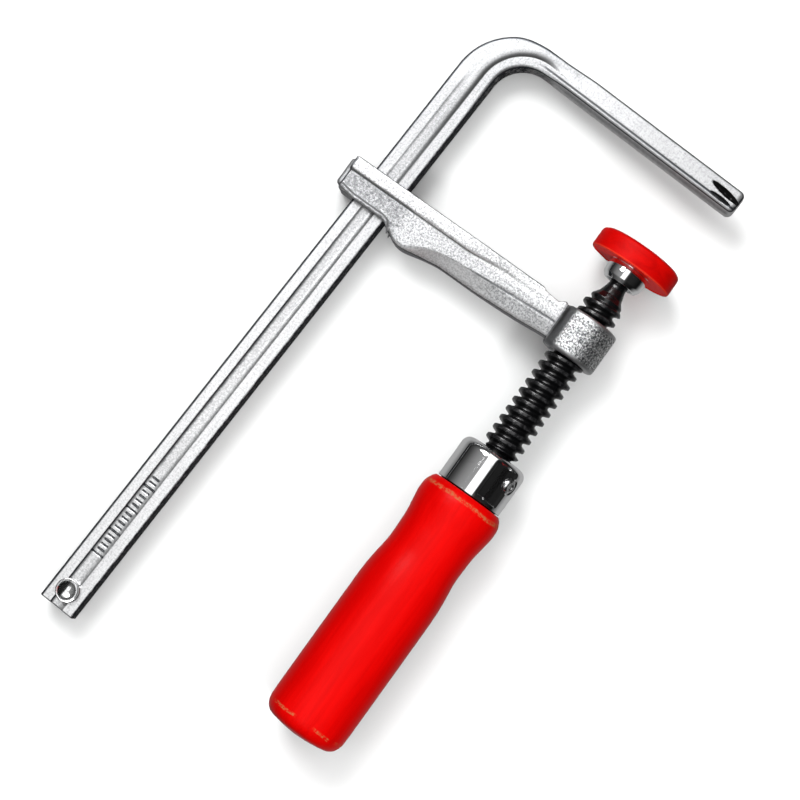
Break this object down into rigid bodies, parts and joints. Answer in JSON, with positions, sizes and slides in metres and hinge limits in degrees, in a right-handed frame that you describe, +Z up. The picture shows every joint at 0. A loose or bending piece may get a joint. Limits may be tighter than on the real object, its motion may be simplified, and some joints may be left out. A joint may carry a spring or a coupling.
{
  "type": "f clamp",
  "caption": "F clamp with a bent grooved steel rail, a sliding arm, a black screw spindle, a swivel pad with a red cap and a turned red wooden handle.",
  "frame": {"origin": "on the bench, below the middle of the clamp, which lies on its side", "axes": "+Y along the rail towards the fixed jaw, +X from the rail towards the screw, +Z up from the bench"},
  "size_m": [0.0962, 0.2018, 0.0249],
  "materials": {
    "rail_steel": "satin nickel-plated drawn steel with fine lengthwise grain",
    "stop_steel": "satin plated steel rivet",
    "arm_steel": "satin plated forged steel with a slightly rough cast skin",
    "black_steel": "glossy black oxide on rolled steel",
    "wire_steel": "bright spring steel wire",
    "plate_chrome": "mirror chrome on pressed steel",
    "cap_plastic": "semi-matte red soft plastic, slightly translucent",
    "ferrule_chrome": "mirror chrome on drawn steel tube",
    "handle_wood": "semi-gloss red lacquer on turned wood, scuffed at both shoulders",
    "pin_steel": "plain steel pin"
  },
  "bodies": {
    "rail": {"rail": "rail_steel", "end_stop": "stop_steel"},
    "sliding_arm": {"sliding_arm": "arm_steel"},
    "ball_ring": {"ball_ring": "wire_steel"},
    "spindle": {"spindle": "black_steel", "cross_pin": "pin_steel", "ferrule": "ferrule_chrome", "handle": "handle_wood"},
    "pressure_plate": {"pressure_plate": "plate_chrome", "plate_cap": "cap_plastic"}
  },
  "joints": [
    {"name": "arm_slide", "type": "slide", "parent": "rail", "child": "sliding_arm", "axis": [0, 1, 0], "range_m": [-0.1265, 0.001]},
    {"name": "screw_feed", "type": "slide", "parent": "sliding_arm", "child": "ball_ring", "axis": [-0.0409, 0.9992, -0.0034], "range_m": [-0.0115, 0.0185]},
    {"name": "spindle_turn", "type": "hinge", "parent": "ball_ring", "child": "spindle", "pos_m": [0.0306, 0.04262, 0.01249], "axis": [-0.0409, 0.9992, -0.0034], "range_deg": [-1379, 2219]},
    {"name": "plate_swivel", "type": "hinge", "parent": "ball_ring", "child": "pressure_plate", "pos_m": [0.0297, 0.0645, 0.01242], "axis": [-0.0825, 0, 0.9966], "range_deg": [-5, 5]}
  ],
  "couplings": [
    {"joint": "screw_feed", "follows": "spindle_turn", "m_per_rad": 0.00047746}
  ]
}
